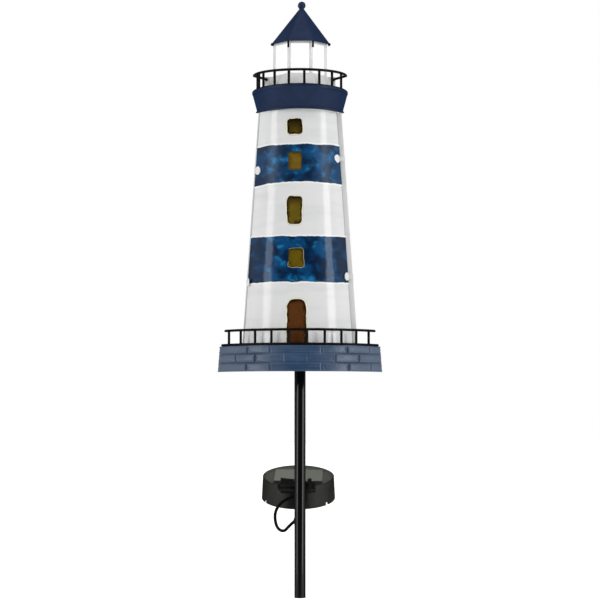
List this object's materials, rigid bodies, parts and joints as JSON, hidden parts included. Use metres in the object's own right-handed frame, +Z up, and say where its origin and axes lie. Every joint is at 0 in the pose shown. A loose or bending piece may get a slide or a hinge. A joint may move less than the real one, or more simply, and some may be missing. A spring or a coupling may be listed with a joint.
{
  "type": "garden lighthouse ornament",
  "caption": "Half-round lighthouse ornament on a ground pole, with a painted glass tower lit from inside and a solar unit that tilts behind the pole.",
  "frame": {"origin": "centre of the pole's lower end, where the pole slides onto a ground spike's stub", "axes": "+Z up along the pole, front of the lighthouse towards -Y, +X to the viewer's right"},
  "size_m": [0.2068, 0.1754, 0.7497],
  "materials": {
    "black_gloss_paint": "gloss powder coat on steel tube",
    "black_wire_paint": "satin paint on steel wire",
    "white_paint": "satin white paint on steel sheet",
    "navy_paint": "satin navy paint on steel sheet",
    "slate_blue_paint": "matt slate blue paint on embossed sheet",
    "painted_glass": "glass painted in bands, gloss",
    "black_plastic": "moulded",
    "white_plastic": "moulded",
    "solar_glass": "cell under clear resin",
    "circuit_laminate": "solder mask",
    "lamp_resin": "clear resin",
    "lead_jacket": "extruded jacket",
    "grommet_rubber": "moulded",
    "button_rubber": "moulded",
    "zinc_screw": "zinc plated",
    "black_screw": "black oxide",
    "cell_sleeve": "shrink sleeve",
    "contact_metal": "nickel plated strip"
  },
  "bodies": {
    "root": {"pole": "black_gloss_paint", "pole_socket": "white_paint", "socket_screws": "zinc_screw", "base_band": "slate_blue_paint", "base_deck": "slate_blue_paint", "base_railing": "black_wire_paint", "tower_frame": "white_paint", "glass_shade": "painted_glass", "top_plate": "white_paint", "glass_clips": "white_paint", "gallery_collar": "navy_paint", "gallery_deck": "navy_paint", "gallery_railing": "black_wire_paint", "lantern_frame": "white_paint", "roof": "navy_paint", "eave_drops": "black_wire_paint", "finial_ball": "navy_paint", "light_board": "circuit_laminate", "light_lamps": "lamp_resin", "board_plug": "white_plastic", "inner_lead": "lead_jacket", "pole_saddle": "black_plastic", "saddle_screws": "black_screw", "solar_cord": "lead_jacket", "cord_grommet": "grommet_rubber"},
    "panel": {"solar_housing": "black_plastic", "unit_cover": "black_plastic", "cover_screws": "zinc_screw", "cover_gasket": "grommet_rubber", "solar_wafer": "solar_glass", "battery_tray": "black_plastic", "battery_cell": "cell_sleeve", "battery_contacts": "contact_metal", "circuit_board": "circuit_laminate", "switch_case": "black_plastic", "hinge_nut": "black_screw"},
    "clamp": {"clamp_knob": "black_plastic"},
    "button": {"switch_button": "button_rubber"}
  },
  "joints": [
    {"name": "panel_tilt", "type": "hinge", "parent": "root", "child": "panel", "pos_m": [0, 0.015, 0.1347], "axis": [1, 0, 0], "range_deg": [-15, 45], "deforming": ["solar_cord"]},
    {"name": "clamp_turn", "type": "hinge", "parent": "panel", "child": "clamp", "pos_m": [0, 0.015, 0.1347], "axis": [1, 0, 0], "continuous": true},
    {"name": "button_press", "type": "slide", "parent": "panel", "child": "button", "axis": [0, -0.2588, 0.9659], "range_m": [0, 0.0015], "stiffness_N_per_m": 300, "springref_m": -0.0005}
  ]
}
